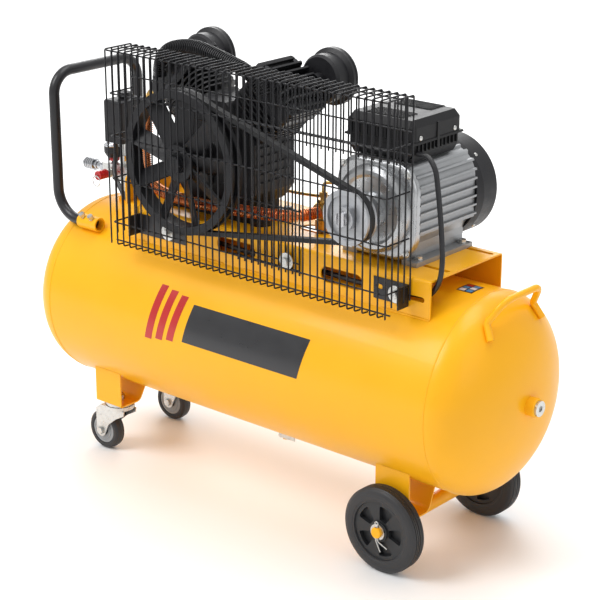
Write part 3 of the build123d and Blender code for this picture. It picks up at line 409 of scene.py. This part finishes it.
def finned_tube(name, route, core, fin, pitch, thick, material, slot, **how):
    """A pipe of core radius with square-edged fins of fin radius along it at an even pitch."""
    path = smooth_route(route)
    stations = even_stations(path, pitch * MM)
    sides = FIN_SIDES
    verts, faces = [], []
    up = Vector((0.13, 0.2, 1)).normalized()
    for place, way in stations:
        up = (up - way * up.dot(way)).normalized()
        side = way.cross(up)
        for shift, r in ((-thick / 2, core), (-thick / 2, fin), (thick / 2, fin), (thick / 2, core)):
            for k in range(sides):
                a = 2 * math.pi * k / sides
                around = up * math.cos(a) + side * math.sin(a)
                verts.append(place + (way * shift + around * r) * MM)
    for i in range(4 * len(stations) - 1):
        for k in range(sides):
            a, b = i * sides + k, i * sides + (k + 1) % sides
            faces.append((a, b, b + sides, a + sides))
    faces.append(tuple(range(sides))[::-1])
    faces.append(tuple(range(len(verts) - sides, len(verts))))
    return mesh_piece(name, verts, faces, material, slot, smooth=False, **how)


# ---------------------------------------------------------------- belt guard
GUARD_X0, GUARD_X1 = -275.0, 360.0
GUARD_FRONT, GUARD_REAR = -170.0, -104.5
GUARD_TOP, GUARD_LOW = 825.0, 466.0
GUARD_LEVELS = (745.5, 667.0, 588.0, 506.0)
GUARD_WIRE = 1.5
GUARD_COLUMNS = 41
# The rear grille ends high, apart from a tongue that reaches down between the pump and the motor.
REAR_LOW = 705
REAR_LEVELS = (GUARD_LEVELS[0] + 20, 728, 712)
TONGUE_X0, TONGUE_X1 = -34, 124
TONGUE_LOW = 472
TONGUE_LEVELS = (GUARD_LEVELS[2], 494, 482)
END_LOW = GUARD_LOW + 16
HOOK_REACH = 15
COLUMN_BEND, LEVEL_BEND = 4, 7


def make_guard():
    """Bent wires: columns over front, top and rear, levels round the front, and the end grilles."""
    pitch = (GUARD_X1 - GUARD_X0) / (GUARD_COLUMNS - 1)
    f, r, w = GUARD_FRONT, GUARD_REAR, 2 * GUARD_WIRE
    wires = []
    for k in range(GUARD_COLUMNS):
        x = GUARD_X0 + k * pitch
        rear_end = TONGUE_LOW if TONGUE_X0 <= x <= TONGUE_X1 else REAR_LOW
        if k in (0, GUARD_COLUMNS - 1):
            rear_end = END_LOW
        path = [(x, r, rear_end), (x, r, GUARD_TOP), (x, f, GUARD_TOP), (x, f, GUARD_LOW)]
        if 0 < k < GUARD_COLUMNS - 1:
            path.append((x, f + HOOK_REACH, GUARD_LOW - 1))
        wires.append(bent(path, COLUMN_BEND))
    for z in GUARD_LEVELS:
        x0, x1, y0 = GUARD_X0 + w, GUARD_X1 - w, f + w
        path = [(x0, r - 2, z), (x0, y0, z), (x1, y0, z), (x1, r - 2, z)]
        wires.append(bent(path, LEVEL_BEND))
    for y, z in ((f + 13, GUARD_LOW + w), (r - w, GUARD_TOP - w), (f + w + 1, GUARD_TOP - w),
                 ((f + r) / 2 + 7, GUARD_TOP - w)):
        wires.append([at(GUARD_X0, y, z), at(GUARD_X1, y, z)])
    for z in REAR_LEVELS:
        wires.append([at(GUARD_X0, r - w, z), at(GUARD_X1, r - w, z)])
    for z in TONGUE_LEVELS:
        wires.append([at(TONGUE_X0, r - w, z), at(TONGUE_X1, r - w, z)])
    for x in (GUARD_X0, GUARD_X1):
        for k in (1, 2, 3):
            y = f + (r - f) * k / 4
            wires.append([at(x, y, END_LOW), at(x, y, GUARD_TOP)])
    bent_bars("guard_wires", wires, GUARD_WIRE, WIRE_BLACK, "black_wire", replaced=["guard_cage"])


make_guard()


# ---------------------------------------------------------------- pipes
CRANK_X, CRANK_Z = -118.0, 640.0
V_ANGLE = math.radians(45)
HEAD_REACH = 178
HEAD_HALF = 57.0
ARCH_Y = -50.0
VALVE_X = 88.0


def on_cylinder_axis(side, t, across=0.0):
    """X and Z of a point t along one cylinder's axis and across from it; side is -1 or 1."""
    x = CRANK_X + side * (t * math.sin(V_ANGLE) + across * math.cos(V_ANGLE))
    z = CRANK_Z + t * math.cos(V_ANGLE) - across * math.sin(V_ANGLE)
    return x, z


def make_pipes():
    left_x, left_z = on_cylinder_axis(-1, HEAD_REACH)
    right_x, right_z = on_cylinder_axis(1, HEAD_REACH)
    arch = (
        (left_x, ARCH_Y - 16, left_z),
        (left_x + 4, ARCH_Y - 19, 810),
        (left_x + 82, ARCH_Y - 21, 834),
        (right_x - 96, ARCH_Y - 20, 820),
        (right_x - 14, ARCH_Y - 18, 798),
        (right_x, ARCH_Y - 16, right_z),
    )
    finned_tube("intercooler_fins", arch, 8.0, 12.8, 4.4, 1.6, PIPE_BLACK, "black_paint",
                replaced=["intercooler_tube"])
    port_x, port_z = on_cylinder_axis(-1, HEAD_REACH, HEAD_HALF)
    route = (
        (port_x - 12, -38, port_z - 20),
        (-298, -50, 655),
        (-284, -66, 566),
        (-236, -76, 546),
        (-140, -80, 547),
        (-36, -78, 552),
        (44, -74, 558),
        (VALVE_X, -52, 560),
        (VALVE_X + 1, -17, 560),
    )
    finned_tube("discharge_fins", route, 6.5, 10.8, 3.8, 1.2, COPPER, "copper",
                replaced=["discharge_tube"])


make_pipes()


# ---------------------------------------------------------------- plain graphics on the tank
PATCH_LIFT = 0.35
PATCH_CUTS_X = range(-200, 210, 20)
PATCH_CUTS_Z = range(280, 430, 4)
MARK_COUNT = 3
MARK_X, MARK_STEP, MARK_WIDTH = -188, 27, 17
MARK_Z0, MARK_Z1, MARK_SHRINK = 305, 405, 4
MARK_LEAN = 22
BAND = (-94, 178, 318, 388)
BAND_LEAN = 16


def cut_flat(mesh, place, normal):
    bmesh.ops.bisect_plane(mesh, geom=mesh.verts[:] + mesh.edges[:] + mesh.faces[:],
                           plane_co=place, plane_no=normal)


def tank_patch(name, outline, material):
    """A thin skin on the front of the shell. The outline is (X, height) points, walked round."""
    mesh = bmesh.new()
    corners = [mesh.verts.new((x, z, 0)) for x, z in outline]
    mesh.faces.new(corners)
    for x in PATCH_CUTS_X:
        cut_flat(mesh, (x, 0, 0), (1, 0, 0))
    for z in PATCH_CUTS_Z:
        cut_flat(mesh, (0, z, 0), (0, 1, 0))
    radius = TANK_R + PATCH_LIFT
    for vert in mesh.verts:
        x, z = vert.co.x, vert.co.y
        vert.co = at(x, -math.sqrt(radius ** 2 - (z - TANK_Z) ** 2), z)
    bmesh.ops.recalc_face_normals(mesh, faces=mesh.faces[:])
    data = bpy.data.meshes.new(name)
    mesh.to_mesh(data)
    mesh.free()
    piece = bpy.data.objects.new(name, data)
    bpy.context.scene.collection.objects.link(piece)
    return finish_piece(piece, material, "black_paint")


def slanted_bar(x0, x1, z0, z1, lean):
    return [(x0, z0), (x1, z0), (x1 + lean, z1), (x0 + lean, z1)]


def make_graphics():
    for k in range(MARK_COUNT):
        x = MARK_X + k * MARK_STEP
        shrink = k * MARK_SHRINK
        outline = slanted_bar(x, x + MARK_WIDTH, MARK_Z0 + shrink, MARK_Z1 - shrink, MARK_LEAN)
        tank_patch(f"tank_mark_{k}", outline, DECAL_RED)
    tank_patch("tank_band", slanted_bar(*BAND, BAND_LEAN), DECAL_DARK)


make_graphics()


# ---------------------------------------------------------------- small turned and hexagonal pieces
def turned(name, place, axis, rings, material, slot, sides=32, smooth=True, hollow=False, **how):
    """A turned piece: (distance along the axis, radius) rings about a point of the tank's frame.

    The ends are closed by caps, or, in a hollow piece, the last ring joins the first.
    """
    axis = Vector(axis).normalized()
    across = axis.orthogonal().normalized()
    other = axis.cross(across)
    verts, faces = [], []
    for along, r in rings:
        for k in range(sides):
            a = 2 * math.pi * k / sides
            offset = axis * along + (across * math.cos(a) + other * math.sin(a)) * r
            verts.append(at(*place) + offset * MM)
    for i in range(len(rings) if hollow else len(rings) - 1):
        j = (i + 1) % len(rings)
        for k in range(sides):
            m = (k + 1) % sides
            faces.append((i * sides + k, i * sides + m, j * sides + m, j * sides + k))
    if not hollow:
        faces.append(tuple(range(sides))[::-1])
        faces.append(tuple(range(len(verts) - sides, len(verts))))
    return mesh_piece(name, verts, faces, material, slot, smooth=smooth, **how)


def hex_bolt(name, place, axis, across, head, washer):
    """A hexagon head on a thin round washer."""
    rings = ((-0.5, washer), (1.2, washer), (1.6, washer - 0.5))
    turned(f"{name}_washer", place, axis, rings, ZINC, "zinc")
    r = across / math.sqrt(3)
    rings = ((1.0, r), (1.4 + head * 0.85, r), (1.6 + head, r * 0.86))
    turned(f"{name}_head", place, axis, rings, ZINC, "zinc", sides=6, smooth=False)


# ---------------------------------------------------------------- controls
GAUGE = (-440.0, 0.0, 556.0)
DIAL_RISE = 33
TICK_RISE = 33.35
TICK_COUNT = 11
TICK_FIRST, TICK_TURN = 225, 27
TICK_HALF = 0.35
TICK_OUT, TICK_LONG, TICK_SHORT = 16.2, 12.0, 13.6


def make_gauge():
    """The rim and the face, radial ticks with every fifth one longer, and the seal at the foot."""
    x, y, z = GAUGE
    up = (0, 0, 1)
    dial = (x, y, z + DIAL_RISE)
    rings = ((0, 20.4), (3.2, 20.4), (4.0, 19.6), (4.0, 18.0), (0.4, 17.6))
    turned("gauge_rim", dial, up, rings, CHROME, "chrome", sides=48)
    turned("gauge_face", dial, up, ((0.0, 17.9), (0.25, 17.9)), DIAL_WHITE, "dial", sides=48)
    marks_v, marks_f = [], []
    for k in range(TICK_COUNT):
        a = math.radians(TICK_FIRST - TICK_TURN * k)
        way = Vector((math.cos(a), math.sin(a), 0))
        side = Vector((-way.y, way.x, 0)) * TICK_HALF
        inner = TICK_LONG if k % 5 == 0 else TICK_SHORT
        centre = Vector((x, y, z + TICK_RISE))
        base = len(marks_v)
        for r, s in ((inner, -1), (TICK_OUT, -1), (TICK_OUT, 1), (inner, 1)):
            marks_v.append(at(*(centre + way * r + side * s)))
        marks_f.append((base, base + 1, base + 2, base + 3))
    mesh_piece("gauge_marks", marks_v, marks_f, DIAL_BLACK, "dial", smooth=False)
    rings = ((0, 9.6), (0.8, 10.2), (5.4, 10.2), (6.2, 9.6))
    turned("gauge_seal", (x, y, z + 3), up, rings, RED_PLASTIC, "red_plastic")


def make_relief_valve():
    """The hexagon collar where the relief valve enters the block under the gauge."""
    x, _, z = GAUGE
    rings = ((0, 9), (5.5, 9), (6.5, 8))
    turned("relief_collar", (x, -15.5, z - 19), (0, -1, 0), rings, ZINC, "zinc", sides=6,
           smooth=False)


make_gauge()
make_relief_valve()


# ---------------------------------------------------------------- motor trim
MOTOR_X, MOTOR_Z = 261.0, 614.0
SHIELD_FACE_Y = -74.0
SHIELD_BOLT_REACH = 67
COWL_SCREW_Y = 122
COWL_SCREW_R = 88.6


def make_motor_trim():
    """Four bolts on the front shield and four screws round the fan cowl."""
    for k, (side, level) in enumerate(((-1, -1), (-1, 1), (1, -1), (1, 1))):
        x = MOTOR_X + side * SHIELD_BOLT_REACH
        z = MOTOR_Z + level * SHIELD_BOLT_REACH
        hex_bolt(f"shield_bolt_{k}", (x, SHIELD_FACE_Y, z), (0, -1, 0), 8, 4, 6)
    for k in range(4):
        a = math.radians(45 + 90 * k)
        way = (math.cos(a), 0, math.sin(a))
        place = (MOTOR_X + COWL_SCREW_R * way[0], COWL_SCREW_Y, MOTOR_Z + COWL_SCREW_R * way[2])
        rings = ((-1, 3.6), (1.2, 3.6), (2.0, 2.4))
        turned(f"cowl_screw_{k}", place, way, rings, ZINC, "zinc", sides=16)


def box_slab(name, xs, ys, zs, taper):
    """A rectangular block of the terminal box whose top is drawn in by taper on every side."""
    (x0, x1), (y0, y1), (z0, z1) = xs, ys, zs
    t = taper
    verts = [at(x, y, z0) for x, y in ((x0, y0), (x1, y0), (x1, y1), (x0, y1))]
    top = ((x0 + t, y0 + t), (x1 - t, y0 + t), (x1 - t, y1 - t), (x0 + t, y1 - t))
    verts += [at(x, y, z1) for x, y in top]
    faces = [(3, 2, 1, 0), (4, 5, 6, 7), (0, 1, 5, 4), (1, 2, 6, 5), (2, 3, 7, 6), (3, 0, 4, 7)]
    return mesh_piece(name, verts, faces, BOX_PLASTIC, "grey_plastic", smooth=False)


BOX_X0, BOX_X1 = 188.0, 327.0
BOX_Y0, BOX_Y1 = -62.0, 76.0
BOX_SPLIT = 729.0
BOX_TOP = 767.0
LOUVRES = 7
LOUVRE_REACH, LOUVRE_PITCH, LOUVRE_INSET = 38, 6, 30
SCREW_INSET = 22
LIP = 1.6
RIBS = 11
RIB_PITCH, RIB_INSET = 10.6, 16


def make_box_trim():
    """Louvres on the cover's top, the joint between its halves, its screws, lip and ribs."""
    middle_y = (BOX_Y0 + BOX_Y1) / 2
    for end, side in (("front", -1), ("rear", 1)):
        for k in range(LOUVRES):
            y = middle_y + side * LOUVRE_REACH + (k - 3) * LOUVRE_PITCH + 3
            box_slab(f"louvre_{end}_{k}", (BOX_X0 + LOUVRE_INSET, BOX_X1 - LOUVRE_INSET),
                     (y - 1.0, y + 1.0), (BOX_TOP - 2, BOX_TOP + 1.6), 0.5)
    for hand, side, x in (("left", -1, BOX_X0), ("right", 1, BOX_X1)):
        box_slab(f"box_joint_{hand}", sorted((x - side * 2, x + side * 2.2)),
                 (middle_y - 3.5, middle_y + 3.5), (BOX_SPLIT - 14, BOX_TOP - 10), 0.8)
        for k, y in enumerate((BOX_Y0 + SCREW_INSET, BOX_Y1 - SCREW_INSET)):
            rings = ((-1, 4.2), (1.0, 4.2), (1.8, 3.0))
            turned(f"box_screw_{hand}_{k}", (x, y, BOX_SPLIT + 8), (side, 0, 0), rings, ZINC, "zinc",
                   sides=16)
    box_slab("box_lip", (BOX_X0 - LIP, BOX_X1 + LIP), (BOX_Y0 - LIP, BOX_Y1 + LIP),
             (BOX_SPLIT - 2, BOX_SPLIT + 2), 0.4)
    for k in range(RIBS):
        y = BOX_Y0 + RIB_INSET + k * RIB_PITCH
        box_slab(f"box_rib_{k}", (BOX_X1 - 2, BOX_X1 + 1.2), (y - 1.1, y + 1.1),
                 (BOX_SPLIT - 16, BOX_SPLIT - 2), 0.3)


make_motor_trim()
make_box_trim()


# ---------------------------------------------------------------- tyres and caster hubs
# Centre of the rear wheel and of the rear caster; the front ones mirror them. Both stand on the
# floor, so their height is their radius.
WHEEL = (346.0, 144.5, 77.5)
WHEEL_HALF = 16.5
HUB_R = 53.0
TREAD_START, TREAD_PITCH, TREAD_DEPTH = 6.2, 4.4, 2.6
CASTER = (-388.0, 94.0, 40.0)
SIDES = (("front", -1), ("rear", 1))


def tyre_profile():
    """Half the section from the rim over the side wall to the grooved tread, then its mirror."""
    h = WHEEL_HALF
    r = WHEEL[2]
    wall = [
        (h - 3.2, HUB_R - 0.2),
        (h - 1.0, HUB_R + 0.6),
        (h - 0.6, HUB_R + 3.0),
        (h + 0.3, HUB_R + 4.5),
        (h + 0.6, HUB_R + 9),
        (h + 0.1, HUB_R + 14),
        (h - 1.6, r - 5.5),
        (h - 3.6, r - 2.6),
        (h - 5.4, r - 1.2),
    ]
    tread = []
    for k in range(3):
        y = h - TREAD_START - TREAD_PITCH * k
        tread += [(y, r - 0.3), (y - 0.1, r - TREAD_DEPTH), (y - 1.1, r - TREAD_DEPTH), (y - 1.2, r)]
    half = wall + tread
    return half + [(-y, r) for y, r in reversed(half)]


def make_tyres():
    x, y, z = WHEEL
    for name, side in SIDES:
        turned(f"tyre_{name}", (x, side * y, z), (0, 1, 0), tyre_profile(), TYRE, "tyre", sides=96,
               smooth=False, hollow=True, body=f"wheel_{name}", replaced=[f"wheel_tyre_{name}"])


def make_caster_hubs():
    """A grey stepped disc on each face of each caster."""
    x, y, z = CASTER
    face = (
        (9.6, 27.5),
        (10.6, 27.0),
        (10.6, 23.5),
        (9.9, 23.0),
        (9.9, 20.5),
        (10.9, 20.0),
        (10.9, 12.0),
        (9.6, 11.5),
    )
    for name, side in SIDES:
        for face_side in (-1, 1):
            where = "outer" if face_side == side else "inner"
            turned(f"caster_hub_{name}_{where}", (x, side * y, z), (0, face_side, 0), face,
                   CASTER_GREY, "hub_plastic", sides=48, smooth=False, hollow=True,
                   body=f"roller_{name}")


make_tyres()
make_caster_hubs()


# ---------------------------------------------------------------- weld beads
SEAM_BEAD, SEAM_SINK, SEAM_STEPS = 1.8, 0.9, 96
PLATFORM_BEAD, PLATFORM_HALF, PLATFORM_RISE = 1.9, 102.5, 0.4
PLATFORM_RUNS = ((-306, -250), (-190, -60), (-10, 60), (140, 240), (300, 400))


def bead(name, paths, radius):
    bent_bars(name, paths, radius, YELLOW_WELD, "yellow_paint")


def make_welds():
    """Seams where the heads meet the shell, and stitches along the platform's feet."""
    radius = TANK_R - SEAM_SINK
    rings = []
    for x in (-SHELL_HALF, SHELL_HALF):
        ring = []
        for k in range(SEAM_STEPS + 1):
            a = 2 * math.pi * k / SEAM_STEPS
            ring.append(at(x, radius * math.sin(a), TANK_Z + radius * math.cos(a)))
        rings.append(ring)
    bead("tank_seams", rings, SEAM_BEAD)
    lines = []
    for y in (-PLATFORM_HALF, PLATFORM_HALF):
        z = TANK_Z + math.sqrt(TANK_R ** 2 - y ** 2) + PLATFORM_RISE
        for x0, x1 in PLATFORM_RUNS:
            lines.append([at(x0, y, z), at(x1, y, z)])
    bead("platform_welds", lines, PLATFORM_BEAD)


make_welds()


# ---------------------------------------------------------------- plain sticker on the tank's top
STICKER_X0, STICKER_X1 = 392.0, 424.0
STICKER_Y0, STICKER_Y1 = -20.0, 18.0
STICKER_ROWS = 12
STICKER_LIFT, SQUARE_LIFT = 0.3, 0.5
SQUARE_FILLS = (DECAL_PALE, DECAL_BLUE, DECAL_RED, DECAL_BLUE, DECAL_PALE, DECAL_BLUE)


def top_patch(name, x0, x1, y0, y1, material, lift):
    """A thin rectangular skin on the top of the shell."""
    verts, faces = [], []
    radius = TANK_R + lift
    for k in range(STICKER_ROWS + 1):
        y = y0 + (y1 - y0) * k / STICKER_ROWS
        z = TANK_Z + math.sqrt(radius ** 2 - y ** 2)
        verts += [at(x0, y, z), at(x1, y, z)]
    for k in range(STICKER_ROWS):
        faces.append((2 * k, 2 * k + 1, 2 * k + 3, 2 * k + 2))
    mesh_piece(name, verts, faces, material, "black_paint")


def make_sticker():
    """A dark field with two rows of three plain squares."""
    top_patch("sticker_base", STICKER_X0, STICKER_X1, STICKER_Y0, STICKER_Y1, DECAL_DARK,
              STICKER_LIFT)
    for k, fill in enumerate(SQUARE_FILLS):
        row, column = divmod(k, 3)
        x = STICKER_X0 + 3 + row * 14
        y = STICKER_Y0 + 2.5 + column * 11.5
        top_patch(f"sticker_patch_{k}", x, x + 11.5, y, y + 9.5, fill, SQUARE_LIFT)


make_sticker()
